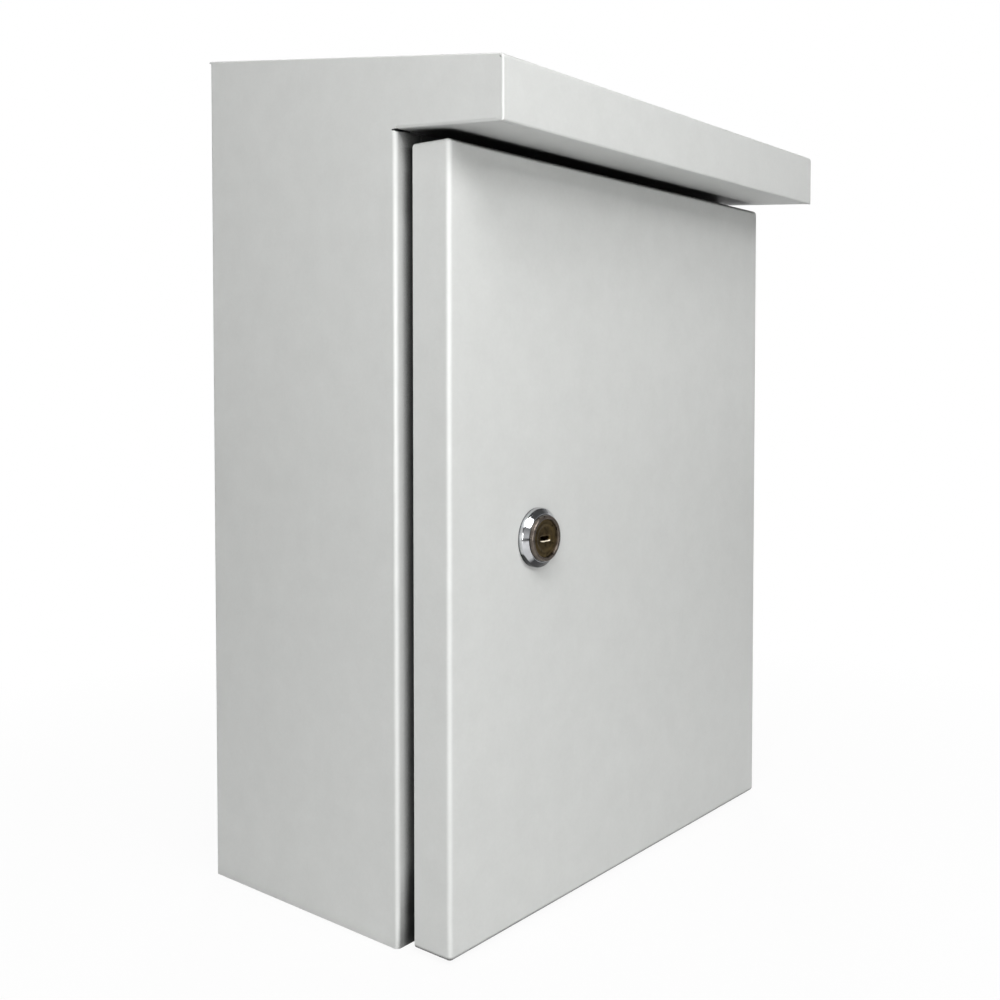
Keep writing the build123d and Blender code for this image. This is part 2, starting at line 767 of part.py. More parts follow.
with BuildPart() as lock_washer:
    with BuildSketch(Plane.XZ.offset(-door_inner_y)):
        with Locations((lock_x, lock_height)):
            Circle(lock_washer_radius)
            Circle(barrel_radius + barrel_fit, mode=Mode.SUBTRACT)
    extrude(amount=-lock_washer_thick)
lock_washer.part.label = "lock_washer"
export_step(lock_washer.part, "parts/lock_washer.step")

with BuildPart() as lock_nut:
    with BuildSketch(Plane.XZ.offset(-door_inner_y - lock_washer_thick)):
        with Locations((lock_x, lock_height)):
            RegularPolygon(lock_nut_flats / 2, 6, major_radius=False)
            Circle(barrel_radius + thread_fit, mode=Mode.SUBTRACT)
    extrude(amount=-lock_nut_thick)
lock_nut.part.label = "lock_nut"
export_step(lock_nut.part, "parts/lock_nut.step")

# Turning lock core: plug with keyway and square tail, cam that points down when unlocked, and its screw.
with BuildPart() as lock_plug:
    with BuildSketch(Plane.XZ.offset(-face_back_y)):
        with Locations((lock_x, lock_height)):
            Circle(face_radius)
    extrude(amount=face_thick)
    with BuildSketch(Plane.XZ.offset(-cam_front_y)):
        with Locations((lock_x, lock_height)):
            Circle(plug_radius)
    extrude(amount=cam_front_y - face_back_y)
    with BuildSketch(Plane.XZ.offset(-cam_back_y)):
        with Locations((lock_x, lock_height)):
            Rectangle(tail_side, tail_side)
    extrude(amount=cam_thick)
    with BuildSketch(Plane.XZ.offset(-cam_back_y)):
        with Locations((lock_x, lock_height)):
            Circle(cam_screw_radius + thread_fit)
    extrude(amount=cam_screw_depth + seam, mode=Mode.SUBTRACT)
    with BuildSketch(Plane.XZ.offset(-face_y + overrun)):
        with Locations((lock_x, lock_height)):
            Rectangle(keyway_length, keyway_height)
    extrude(amount=-keyway_depth - overrun, mode=Mode.SUBTRACT)
    chamfer(lock_plug.edges().filter_by(GeomType.LINE).group_by(Axis.Y)[0], keyway_lead)
lock_plug.part.label = "lock_plug"
export_step(lock_plug.part, "parts/lock_plug.step")

with BuildPart() as lock_cam:
    with BuildSketch(Plane.XZ.offset(-cam_back_y)) as cam_outline:
        with Locations((lock_x, lock_height)):
            Circle(cam_width / 2)
        with Locations((lock_x, lock_height - cam_reach / 2)):
            Rectangle(cam_width, cam_reach)
        fillet(cam_outline.vertices().group_by(Axis.Y)[0], cam_tip_round)
        with Locations((lock_x, lock_height)):
            Rectangle(tail_side + 2 * tail_fit, tail_side + 2 * tail_fit, mode=Mode.SUBTRACT)
    extrude(amount=cam_thick)
lock_cam.part.label = "lock_cam"
export_step(lock_cam.part, "parts/lock_cam.step")

with BuildPart() as cam_screw:
    with BuildSketch(Plane.XZ.offset(-cam_back_y)):
        with Locations((lock_x, lock_height)):
            Circle(cam_screw_head_radius)
    extrude(amount=-cam_screw_head)
    fillet(cam_screw.faces().sort_by(Axis.Y)[-1].edges(), cut_edge_round)
    with BuildSketch(Plane.XZ.offset(-cam_back_y)):
        with Locations((lock_x, lock_height)):
            Circle(cam_screw_radius)
    extrude(amount=cam_screw_depth)
cam_screw.part.label = "cam_screw"
export_step(cam_screw.part, "parts/cam_screw.step")
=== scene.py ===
import math

import bmesh
import bpy
from mathutils import Euler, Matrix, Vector, noise


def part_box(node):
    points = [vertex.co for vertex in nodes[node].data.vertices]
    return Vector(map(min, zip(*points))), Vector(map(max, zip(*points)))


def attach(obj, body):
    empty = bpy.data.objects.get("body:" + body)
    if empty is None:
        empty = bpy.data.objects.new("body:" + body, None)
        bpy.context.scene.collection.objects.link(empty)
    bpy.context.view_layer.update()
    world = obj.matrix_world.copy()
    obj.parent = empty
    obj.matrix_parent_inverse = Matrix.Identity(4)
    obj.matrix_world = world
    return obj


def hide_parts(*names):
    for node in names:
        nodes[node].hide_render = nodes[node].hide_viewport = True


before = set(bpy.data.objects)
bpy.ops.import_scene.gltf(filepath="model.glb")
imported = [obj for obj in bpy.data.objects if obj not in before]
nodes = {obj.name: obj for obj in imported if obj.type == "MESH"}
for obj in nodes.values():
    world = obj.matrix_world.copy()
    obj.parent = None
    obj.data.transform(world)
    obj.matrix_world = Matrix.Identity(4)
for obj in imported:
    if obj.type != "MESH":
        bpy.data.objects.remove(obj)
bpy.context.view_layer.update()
mm = 0.001

# Cabinet shell
# The wrap, the roof with its canopy and the floor are folded from steel sheet, welded at the seams and
# ground, then powder coated in a faintly mottled light grey with a fine orange peel and a satin gloss. Its
# colour carries painted light: a painted highlight, paler along the bends, and painted shade, darker in
# narrow gaps.


def new_group(name):
    group = bpy.data.node_groups.new(name, "ShaderNodeTree")
    group.interface.new_socket("Colour", in_out="INPUT", socket_type="NodeSocketColor")
    group.interface.new_socket("Colour", in_out="OUTPUT", socket_type="NodeSocketColor")
    group.interface.new_socket("Roughness", in_out="OUTPUT", socket_type="NodeSocketFloat")
    group.interface.new_socket("Height", in_out="OUTPUT", socket_type="NodeSocketFloat")
    return group, group.nodes.new("NodeGroupInput"), group.nodes.new("NodeGroupOutput")


def hand_over(tree, result, colour, roughness, height):
    tree.links.new(colour, result.inputs["Colour"])
    tree.links.new(roughness, result.inputs["Roughness"])
    tree.links.new(height, result.inputs["Height"])


def object_noise(tree, scale, detail, roughness=0.5):
    place = tree.nodes.new("ShaderNodeTexCoord")
    texture = tree.nodes.new("ShaderNodeTexNoise")
    texture.inputs["Scale"].default_value = scale
    texture.inputs["Detail"].default_value = detail
    texture.inputs["Roughness"].default_value = roughness
    tree.links.new(place.outputs["Object"], texture.inputs["Vector"])
    return texture.outputs["Fac"]


def ramp(tree, value, first, last, low, high):
    remap = tree.nodes.new("ShaderNodeMapRange")
    remap.inputs["From Min"].default_value = first
    remap.inputs["From Max"].default_value = last
    remap.inputs["To Min"].default_value = low
    remap.inputs["To Max"].default_value = high
    tree.links.new(value, remap.inputs["Value"])
    return remap.outputs["Result"]


def spread(tree, value, low, high):
    return ramp(tree, value, first=0.3, last=0.7, low=low, high=high)


def combine(tree, operation, first, second):
    step = tree.nodes.new("ShaderNodeMath")
    step.operation = operation
    tree.links.new(first, step.inputs[0])
    tree.links.new(second, step.inputs[1])
    return step.outputs["Value"]


def shaded(tree, colour, factor):
    mix = tree.nodes.new("ShaderNodeMix")
    mix.data_type = "RGBA"
    mix.blend_type = "MULTIPLY"
    mix.inputs["Factor"].default_value = 1.0
    tree.links.new(colour, mix.inputs["A"])
    tree.links.new(factor, mix.inputs["B"])
    return mix.outputs["Result"]


def openness(tree, distance):
    occlusion = tree.nodes.new("ShaderNodeAmbientOcclusion")
    occlusion.samples = 16
    occlusion.inputs["Distance"].default_value = distance
    return occlusion.outputs["AO"]


def axes_of(tree, vector):
    split = tree.nodes.new("ShaderNodeSeparateXYZ")
    tree.links.new(vector, split.inputs["Vector"])
    return split.outputs


coat_group, coat_in, coat_out = new_group("satin_powder_coat")
coat_tone = spread(coat_group, object_noise(coat_group, 60.0, 4.0, 0.65), 0.977, 1.023)
coat_fleck = spread(coat_group, object_noise(coat_group, 700.0, 2.0), 0.99, 1.01)
# painted shade: the colour darkens in narrow gaps and close corners, found by occlusion within 40 mm
coat_gap_shade = ramp(coat_group, openness(coat_group, 40 * mm), first=0.23, last=0.52, low=0.03, high=1.0)
coat_facing = coat_group.nodes.new("ShaderNodeTexCoord")
coat_along = coat_group.nodes.new("ShaderNodeVectorMath")
coat_along.operation = "ABSOLUTE"
coat_group.links.new(coat_facing.outputs["Normal"], coat_along.inputs[0])
coat_axes = axes_of(coat_group, coat_along.outputs["Vector"])
coat_flat = combine(coat_group, "MAXIMUM", coat_axes["X"], coat_axes["Y"])
coat_flat = combine(coat_group, "MAXIMUM", coat_flat, coat_axes["Z"])
# painted highlight: the colour is paler where the surface turns through a bend
coat_bend_highlight = ramp(coat_group, coat_flat, first=0.8, last=0.985, low=1.12, high=1.0)
coat_shade = coat_tone
for coat_mark in (coat_fleck, coat_gap_shade, coat_bend_highlight):
    coat_shade = combine(coat_group, "MULTIPLY", coat_shade, coat_mark)
coat_colour = shaded(coat_group, coat_in.outputs["Colour"], coat_shade)
coat_gloss = spread(coat_group, object_noise(coat_group, 35.0, 4.0), 0.3, 0.37)
coat_peel = object_noise(coat_group, 950.0, 1.5)
hand_over(coat_group, coat_out, coat_colour, coat_gloss, coat_peel)


def finish(name, group, colour, bump, metallic=0.0):
    material = bpy.data.materials.new(name)
    material.use_nodes = True
    tree = material.node_tree
    shader = tree.nodes["Principled BSDF"]
    shader.inputs["Metallic"].default_value = metallic
    texture = tree.nodes.new("ShaderNodeGroup")
    texture.node_tree = group
    texture.inputs["Colour"].default_value = (*colour, 1.0)
    tree.links.new(texture.outputs["Colour"], shader.inputs["Base Color"])
    tree.links.new(texture.outputs["Roughness"], shader.inputs["Roughness"])
    relief = tree.nodes.new("ShaderNodeBump")
    relief.inputs["Strength"].default_value = 1.0
    relief.inputs["Distance"].default_value = bump
    tree.links.new(texture.outputs["Height"], relief.inputs["Height"])
    tree.links.new(relief.outputs["Normal"], shader.inputs["Normal"])
    return material


def dress(name, material):
    nodes[name].data.materials.clear()
    nodes[name].data.materials.append(material)


light_grey_coat = finish("light_grey_powder_coat", coat_group, (0.597, 0.606, 0.593), 0.02 * mm)
for shell in ("body_wrap", "roof_canopy", "floor_panel"):
    dress(shell, light_grey_coat)

# Cable entry gasket
# A flat frame of black closed-cell foam between the floor and the gland plate. It is cut from sheet and
# squeezed by the nuts, so its edges bulge a little.


def object_cells(tree, scale):
    place = tree.nodes.new("ShaderNodeTexCoord")
    texture = tree.nodes.new("ShaderNodeTexVoronoi")
    texture.inputs["Scale"].default_value = scale
    tree.links.new(place.outputs["Object"], texture.inputs["Vector"])
    return texture.outputs


foam_group, foam_in, foam_out = new_group("closed_cell_foam")
foam_cells = object_cells(foam_group, 1300.0)
foam_dust = object_noise(foam_group, 160.0, 3.0)
foam_colour = shaded(foam_group, foam_in.outputs["Colour"], spread(foam_group, foam_dust, 0.75, 1.35))
foam_dull = spread(foam_group, foam_dust, 0.82, 0.95)
hand_over(foam_group, foam_out, foam_colour, foam_dull, foam_cells["Distance"])
black_foam = finish("black_closed_cell_foam", foam_group, (0.022, 0.022, 0.023), 0.25 * mm)


def make_piece(name, mesh_data, crease=35.0):
    bmesh.ops.recalc_face_normals(mesh_data, faces=mesh_data.faces)
    mesh = bpy.data.meshes.new(name)
    mesh_data.to_mesh(mesh)
    mesh_data.free()
    mesh.shade_smooth()
    mesh.set_sharp_from_angle(angle=math.radians(crease))
    piece = bpy.data.objects.new(name, mesh)
    bpy.context.scene.collection.objects.link(piece)
    return piece


def fit(piece, material, body, slot, *stands_for):
    piece.data.materials.append(material)
    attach(piece, body)
    if stands_for:
        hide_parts(*stands_for)


def rounded_path(centre, across, along, half_across, half_along, corner, step):
    path = []
    arc_steps = 8
    straight_across = half_across - corner
    straight_along = half_along - corner
    for turn_index in range(4):
        first = turn_index * math.pi / 2
        sign_across = 1.0 if turn_index in (0, 3) else -1.0
        sign_along = 1.0 if turn_index in (0, 1) else -1.0
        middle = centre + across * straight_across * sign_across + along * straight_along * sign_along
        for arc_index in range(arc_steps + 1):
            angle = first + arc_index * math.pi / 2 / arc_steps
            outward = across * math.cos(angle) + along * math.sin(angle)
            path.append((middle + outward * corner, outward))
        run = straight_across if turn_index in (0, 2) else straight_along
        count = int(2 * run / step)
        heading = (-across, -along, across, along)[turn_index]
        begin, outward = path[-1]
        for run_index in range(1, count):
            path.append((begin + heading * (2 * run * run_index / count), outward))
    return path


def sweep(mesh_data, path, section, height, wobble):
    waves_per_metre = 60.0
    bonded_rise = 1.0 * mm
    rings = []
    for point, outward in path:
        sway = noise.noise(point * waves_per_metre) * wobble
        ring = []
        for offset, rise in section:
            lift = rise + sway if rise > bonded_rise else rise
            ring.append(mesh_data.verts.new(point + outward * offset + height * lift))
        rings.append(ring)
    for index, ring in enumerate(rings):
        following = rings[(index + 1) % len(rings)]
        for place in range(len(ring)):
            beside = (place + 1) % len(ring)
            mesh_data.faces.new((ring[place], ring[beside], following[beside], following[place]))


x_axis = Vector((1.0, 0.0, 0.0))
y_axis = Vector((0.0, 1.0, 0.0))
z_axis = Vector((0.0, 0.0, 1.0))
gasket_low, gasket_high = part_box("gland_gasket")
gasket_border = 12 * mm
gasket_bulge = 0.3 * mm
gasket_corner = 6.5 * mm
gasket_step = 6 * mm
gasket_thick = gasket_high.z - gasket_low.z
gasket_half = gasket_border / 2
gasket_edge = [
    (gasket_half - gasket_bulge, 0.0),
    (gasket_half, gasket_thick * 0.3),
    (gasket_half, gasket_thick * 0.7),
    (gasket_half - gasket_bulge, gasket_thick),
]
gasket_section = [(-offset, rise) for offset, rise in gasket_edge]
gasket_section += reversed(gasket_edge)
gasket_middle = (gasket_low + gasket_high) / 2
gasket_middle.z = gasket_low.z
gasket_path = rounded_path(
    gasket_middle,
    x_axis,
    y_axis,
    (gasket_high.x - gasket_low.x) / 2 - gasket_half,
    (gasket_high.y - gasket_low.y) / 2 - gasket_half,
    gasket_corner,
    gasket_step,
)
gasket_mesh = bmesh.new()
sweep(gasket_mesh, gasket_path, gasket_section, z_axis, 0.0)
gland_foam = make_piece("gland_gasket_foam", gasket_mesh)
fit(gland_foam, black_foam, "cabinet", "black_foam", "gland_gasket")

# Gland plate
# A removable plate of the same coated sheet that carries the cable grommets. It is held down by nuts.
dress("gland_plate", light_grey_coat)

# Gland studs and nuts
# Zinc-plated weld studs on the floor with hexagon nuts. The nuts have turned chamfers and countersunk
# bores, and the studs rolled threads.


def hazed_group(name, haze, tone, gloss, grain):
    group, source, result = new_group(name)
    cloud = object_noise(group, *haze)
    colour = shaded(group, source.outputs["Colour"], spread(group, cloud, *tone))
    hand_over(group, result, colour, spread(group, cloud, *gloss), object_noise(group, *grain))
    return group


zinc_group = hazed_group(
    "passivated_zinc",
    haze=(240.0, 4.0),
    tone=(0.8, 1.12),
    gloss=(0.28, 0.46),
    grain=(2200.0, 2.0),
)
zinc_plate = finish("zinc_plated_steel", zinc_group, (0.62, 0.63, 0.64), 0.01 * mm, metallic=1.0)


def turn(mesh_data, profile, centre, axis, start, steps=48, closed=False):
    sideways = axis.cross(start)
    rings = []
    for radius, along in profile:
        if radius == 0:
            rings.append([mesh_data.verts.new(centre + axis * along)])
            continue
        ring = []
        for index in range(steps):
            angle = 2 * math.pi * index / steps
            reach = radius(angle) if callable(radius) else radius
            rise = along(angle) if callable(along) else along
            spoke = start * math.cos(angle) + sideways * math.sin(angle)
            ring.append(mesh_data.verts.new(centre + axis * rise + spoke * reach))
        rings.append(ring)
    pairs = list(zip(rings, rings[1:]))
    if closed:
        pairs.append((rings[-1], rings[0]))
    for low, high in pairs:
        for index in range(steps):
            corners = [low[index % len(low)], low[(index + 1) % len(low)]]
            corners += [high[(index + 1) % len(high)], high[index % len(high)]]
            mesh_data.faces.new(list(dict.fromkeys(corners)))


def thread_profile(radius, pitch, first, last):
    root = radius - pitch * 0.3
    end_chamfer = 0.4 * mm
    profile = []
    along = first
    while along + pitch < last - end_chamfer:
        profile.append((root, along))
        profile.append((root, along + pitch * 0.2))
        profile.append((radius, along + pitch * 0.5))
        profile.append((radius, along + pitch * 0.65))
        along += pitch
    profile.append((root, along))
    profile.append((root, last - end_chamfer))
    profile.append((root - end_chamfer, last))
    profile.append((0, last))
    return profile


def weld_stud(mesh_data, radius, pitch, first, length, foot, axis, start, steps=32):
    plain = 1.0 * mm
    profile = [(0, 0.0), (radius, 0.0), (radius, plain)]
    profile += thread_profile(radius, pitch, first, length)
    turn(mesh_data, profile, foot, axis, start, steps=steps)


def hexagon_nut(mesh_data, flats, thick, bore, centre, axis, start):
    inner = flats / 2 * 0.96
    slope = math.tan(math.radians(30))
    sink = min(0.6 * mm, thick * 0.2)

    def corner(angle):
        return flats / 2 / math.cos(angle % (math.pi / 3) - math.pi / 6)

    profile = [
        (bore, sink),
        (bore + sink, 0.0),
        (inner, 0.0),
        (corner, lambda angle: (corner(angle) - inner) * slope),
        (corner, lambda angle: thick - (corner(angle) - inner) * slope),
        (inner, thick),
        (bore + sink, thick),
        (bore, thick - sink),
    ]
    turn(mesh_data, profile, centre, axis, start, closed=True)


gland_stud_low, gland_stud_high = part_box("gland_studs")
gland_nut_low, gland_nut_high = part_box("gland_nuts")
gland_stud_radius = 2.5 * mm
gland_stud_pitch = 0.8 * mm
gland_stud_thread = 1.2 * mm
gland_nut_flats = 8 * mm
gland_stud_length = gland_stud_high.z - gland_stud_low.z
gland_nut_thick = gland_nut_high.z - gland_nut_low.z
gland_stud_mesh = bmesh.new()
gland_nut_mesh = bmesh.new()
for gland_x in (gland_stud_low.x + gland_stud_radius, gland_stud_high.x - gland_stud_radius):
    for gland_y in (gland_stud_low.y + gland_stud_radius, gland_stud_high.y - gland_stud_radius):
        weld_stud(
            gland_stud_mesh,
            gland_stud_radius,
            gland_stud_pitch,
            gland_stud_thread,
            gland_stud_length,
            Vector((gland_x, gland_y, gland_stud_low.z)),
            z_axis,
            x_axis,
            steps=24,
        )
        hexagon_nut(
            gland_nut_mesh,
            gland_nut_flats,
            gland_nut_thick,
            gland_stud_radius,
            Vector((gland_x, gland_y, gland_nut_low.z)),
            z_axis,
            x_axis,
        )
gland_stud_set = make_piece("gland_stud_threads", gland_stud_mesh)
fit(gland_stud_set, zinc_plate, "cabinet", "zinc_fastener", "gland_studs")
gland_nut_set = make_piece("gland_hexagon_nuts", gland_nut_mesh)
fit(gland_nut_set, zinc_plate, "cabinet", "zinc_fastener", "gland_nuts")

# Cable grommets
# Moulded grey rubber grommets, snapped into the gland plate. The closed membrane has pressed rings that
# show where to cut it for each cable size.
rubber_group = hazed_group(
    "moulded_rubber",
    haze=(110.0, 4.0),
    tone=(0.85, 1.2),
    gloss=(0.55, 0.72),
    grain=(1500.0, 2.0),
)
grey_rubber = finish("grey_moulded_rubber", rubber_group, (0.085, 0.088, 0.09), 0.04 * mm)

plate_low, plate_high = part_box("gland_plate")
grommet_low, grommet_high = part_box("cable_grommets")
grommet_radius = 18 * mm
grommet_neck = 13.9 * mm
grommet_tip = 10.0 * mm
ring_slope = 0.3 * mm
ring_width = 0.8 * mm
grommet_height = grommet_high.z - grommet_low.z
membrane_top = grommet_height - 0.4 * mm
membrane_under = grommet_height - 1.4 * mm
lip_low = plate_low.z - grommet_low.z
lip_high = plate_high.z - grommet_low.z
grommet_profile = [(0, membrane_top)]
for ring_foot in (2.2 * mm, 5.6 * mm):
    ring_inside = ring_foot + ring_slope
    ring_outside = ring_inside + ring_width
    grommet_profile.append((ring_foot, membrane_top))
    grommet_profile.append((ring_inside, grommet_height))
    grommet_profile.append((ring_outside, grommet_height))
    grommet_profile.append((ring_outside + ring_slope, membrane_top))
grommet_profile += [
    (8.4 * mm, membrane_top),
    (8.8 * mm, grommet_height),
    (grommet_tip - 0.5 * mm, grommet_height),
    (grommet_tip, grommet_height - 0.5 * mm),
    (grommet_neck - 0.3 * mm, lip_high + 2.6 * mm),
    (grommet_neck + 0.4 * mm, lip_high + 2.2 * mm),
    (grommet_radius - 0.6 * mm, lip_high + 1.3 * mm),
    (grommet_radius, lip_high + 0.7 * mm),
    (grommet_radius - 0.2 * mm, lip_high),
    (grommet_neck, lip_high),
    (grommet_neck, lip_low),
    (grommet_radius - 0.2 * mm, lip_low),
    (grommet_radius, lip_low - 0.6 * mm),
    (grommet_radius - 0.8 * mm, lip_low - 1.2 * mm),
    (grommet_neck, 0.0),
    (grommet_neck - 2.0 * mm, 0.0),
    (grommet_tip - 1.2 * mm, membrane_under),
    (0, membrane_under),
]
grommet_mesh = bmesh.new()
grommet_y = (grommet_low.y + grommet_high.y) / 2
for grommet_x in (grommet_low.x + grommet_radius, 0.0, grommet_high.x - grommet_radius):
    grommet_foot = Vector((grommet_x, grommet_y, grommet_low.z))
    turn(grommet_mesh, grommet_profile, grommet_foot, z_axis, x_axis, steps=56)
grommet_set = make_piece("cable_membrane_grommets", grommet_mesh)
fit(grommet_set, grey_rubber, "cabinet", "grey_rubber", "cable_grommets")

# Equipment plate
# A loose plate of hot-dip galvanised sheet, left bare so that devices earth through it. The zinc shows
# its crystal spangle.
spangle_group, spangle_in, spangle_out = new_group("galvanised_spangle")
spangle_facet = spangle_group.nodes.new("ShaderNodeSeparateColor")
spangle_crystals = object_cells(spangle_group, 95.0)
spangle_group.links.new(spangle_crystals["Color"], spangle_facet.inputs["Color"])
spangle_tone = spread(spangle_group, spangle_facet.outputs["Red"], 0.86, 1.08)
spangle_colour = shaded(spangle_group, spangle_in.outputs["Colour"], spangle_tone)
spangle_gloss = spread(spangle_group, spangle_facet.outputs["Green"], 0.34, 0.52)
spangle_grain = object_noise(spangle_group, 600.0, 4.0)
hand_over(spangle_group, spangle_out, spangle_colour, spangle_gloss, spangle_grain)
galvanised_sheet = finish(
    "hot_dip_galvanised_sheet", spangle_group, (0.6, 0.61, 0.62), 0.02 * mm, metallic=1.0
)
dress("mounting_plate", galvanised_sheet)

# Plate studs, washers and nuts
# Shouldered zinc-plated studs, welded to the back panel with a small collar of weld. The plate sits on
# the shoulders under a flat washer and a hexagon nut on each stud.
stud_low, stud_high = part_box("plate_studs")
washer_low, washer_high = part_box("plate_washers")
nut_low, nut_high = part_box("plate_nuts")
equipment_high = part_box("mounting_plate")[1]
shoulder_radius = 5 * mm
shoulder_chamfer = 0.4 * mm
stud_radius = 3 * mm
stud_pitch = 1.0 * mm
washer_radius = 6 * mm
washer_bore = stud_radius + 0.1 * mm
nut_flats = 10 * mm
shoulder_length = stud_high.y - equipment_high.y
stud_length = stud_high.y - stud_low.y
washer_thick = washer_high.y - washer_low.y
nut_thick = nut_high.y - nut_low.y
shoulder = [
    (0, 0.0),
    (shoulder_radius + 1.1 * mm, 0.0),
    (shoulder_radius + 0.7 * mm, 0.5 * mm),
    (shoulder_radius + 0.15 * mm, 0.9 * mm),
    (shoulder_radius, 1.6 * mm),
    (shoulder_radius, shoulder_length - shoulder_chamfer),
    (shoulder_radius - shoulder_chamfer, shoulder_length),
    (stud_radius, shoulder_length),
    (stud_radius, shoulder_length + 1.6 * mm),
]
shoulder += thread_profile(stud_radius, stud_pitch, shoulder_length + 1.7 * mm, stud_length)
stud_mesh = bmesh.new()
washer_mesh = bmesh.new()
nut_mesh = bmesh.new()


def flat_washer(mesh_data, outer, bore, thick, centre, axis, start):
    edge = min(0.25 * mm, thick / 3)
    profile = [
        (bore, edge),
        (bore + edge, 0.0),
        (outer - edge, 0.0),
        (outer, edge),
        (outer, thick - edge),
        (outer - edge, thick),
        (bore + edge, thick),
        (bore, thick - edge),
    ]
    turn(mesh_data, profile, centre, axis, start, closed=True)


for stud_x in (stud_low.x + shoulder_radius, stud_high.x - shoulder_radius):
    for stud_z in (stud_low.z + shoulder_radius, stud_high.z - shoulder_radius):
        root = Vector((stud_x, stud_high.y, stud_z))
        turn(stud_mesh, shoulder, root, -y_axis, x_axis, steps=32)
        washer_seat = Vector((stud_x, washer_high.y, stud_z))
        flat_washer(washer_mesh, washer_radius, washer_bore, washer_thick, washer_seat, -y_axis, x_axis)
        nut_seat = Vector((stud_x, nut_high.y, stud_z))
        hexagon_nut(nut_mesh, nut_flats, nut_thick, stud_radius, nut_seat, -y_axis, x_axis)
plate_stud_set = make_piece("plate_stud_threads", stud_mesh)
fit(plate_stud_set, zinc_plate, "cabinet", "zinc_fastener", "plate_studs")
plate_washer_set = make_piece("plate_flat_washers", washer_mesh)
fit(plate_washer_set, zinc_plate, "cabinet", "zinc_fastener", "plate_washers")
plate_nut_set = make_piece("plate_hexagon_nuts", nut_mesh)
fit(plate_nut_set, zinc_plate, "cabinet", "zinc_fastener", "plate_nuts")

# Body earth stud
# A zinc-plated stud welded to the hinge side wall, with a lock nut, a pair of toothed washers that bite
# a cable lug between them, and a second nut.
earth_low, earth_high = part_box("earth_stud")
earth_washer_low, earth_washer_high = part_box("earth_washers")
earth_nut_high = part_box("earth_nuts")[1]
earth_foot = Vector((earth_high.x, (earth_low.y + earth_high.y) / 2, (earth_low.z + earth_high.z) / 2))
earth_length = earth_high.x - earth_low.x
earth_thread = 1.1 * mm
earth_mesh = bmesh.new()
weld_stud(earth_mesh, stud_radius, stud_pitch, earth_thread, earth_length, earth_foot, -x_axis, y_axis)
body_earth = make_piece("body_earth_stud", earth_mesh)
fit(body_earth, zinc_plate, "cabinet", "zinc_fastener", "earth_stud")


def toothed_washer(mesh_data, outer, bore, thick, centre, axis, start):
    teeth = 14
    tooth_depth = 0.9 * mm
    tooth_set = 0.16 * mm
    tooth_edge = 0.15 * mm
    band_width = 2.0 * mm
    band_relief = 0.2 * mm

    def rim(angle):
        return outer - tooth_depth * (1.0 if math.sin(teeth * angle) > 0 else 0.0)

    def twist(angle):
        return tooth_set * math.sin(teeth * angle)

    profile = [
        (bore, band_relief),
        (outer - band_width, band_relief),
        (rim, lambda angle: tooth_edge + tooth_set + twist(angle)),
        (rim, lambda angle: thick - tooth_edge - tooth_set + twist(angle)),
        (outer - band_width, thick - band_relief),
        (bore, thick - band_relief),
    ]
    turn(mesh_data, profile, centre, axis, start, steps=112, closed=True)


earth_washer_thick = (earth_washer_high.x - earth_washer_low.x) / 2
earth_washer_mesh = bmesh.new()
for pair_index in (0, 1):
    washer_back = earth_foot.copy()
    washer_back.x = earth_washer_high.x - pair_index * earth_washer_thick
    toothed_washer(
        earth_washer_mesh,
        washer_radius,
        washer_bore,
        earth_washer_thick,
        washer_back,
        -x_axis,
        y_axis,
    )
earth_washer_set = make_piece("earth_toothed_washers", earth_washer_mesh)
fit(earth_washer_set, zinc_plate, "cabinet", "zinc_fastener", "earth_washers")
earth_nut_thick = earth_high.x - earth_washer_high.x
earth_nut_mesh = bmesh.new()
for nut_back in (earth_nut_high.x, earth_washer_low.x):
    nut_seat = Vector((nut_back, earth_foot.y, earth_foot.z))
    hexagon_nut(earth_nut_mesh, nut_flats, earth_nut_thick, stud_radius, nut_seat, -x_axis, y_axis)
earth_nut_set = make_piece("earth_hexagon_nuts", earth_nut_mesh)
fit(earth_nut_set, zinc_plate, "cabinet", "zinc_fastener", "earth_nuts")

# Concealed hinges
# The bracket is welded to the rim and the knuckle to the door's return, both coated with the sheet. A
# loose zinc-plated pin with a domed head drops through the lugs from above.
pin_radius = 1.97 * mm
for hinge in ("lower", "upper"):
    dress("hinge_bracket_" + hinge, light_grey_coat)
    dress("hinge_knuckle_" + hinge, light_grey_coat)
    pin_low, pin_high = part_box("hinge_pin_" + hinge)
    lug_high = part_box("hinge_bracket_" + hinge)[1]
    pin_head = (pin_high.x - pin_low.x) / 2
    pin_foot = Vector(((pin_low.x + pin_high.x) / 2, (pin_low.y + pin_high.y) / 2, pin_low.z))
    lug_top = lug_high.z - pin_low.z
    pin_top = pin_high.z - pin_low.z
    pin_profile = [
        (0, 0.0),
        (pin_radius - 0.6 * mm, 0.0),
        (pin_radius, 0.7 * mm),
        (pin_radius, lug_top),
        (pin_head - 0.15 * mm, lug_top),
        (pin_head, lug_top + 0.2 * mm),
        (pin_head, lug_top + 0.6 * mm),
        (pin_head * 0.9, lug_top + 0.95 * mm),
        (pin_head * 0.65, pin_top - 0.2 * mm),
        (pin_head * 0.3, pin_top - 0.04 * mm),
        (0, pin_top),
    ]
    pin_mesh = bmesh.new()
    turn(pin_mesh, pin_profile, pin_foot, z_axis, x_axis, steps=40)
    hinge_pin = make_piece("domed_hinge_pin_" + hinge, pin_mesh)
    fit(hinge_pin, zinc_plate, "cabinet", "zinc_fastener", "hinge_pin_" + hinge)

# Door panel
# A folded tray with welded and ground corners, coated in the same light grey.
dress("door_panel", light_grey_coat)

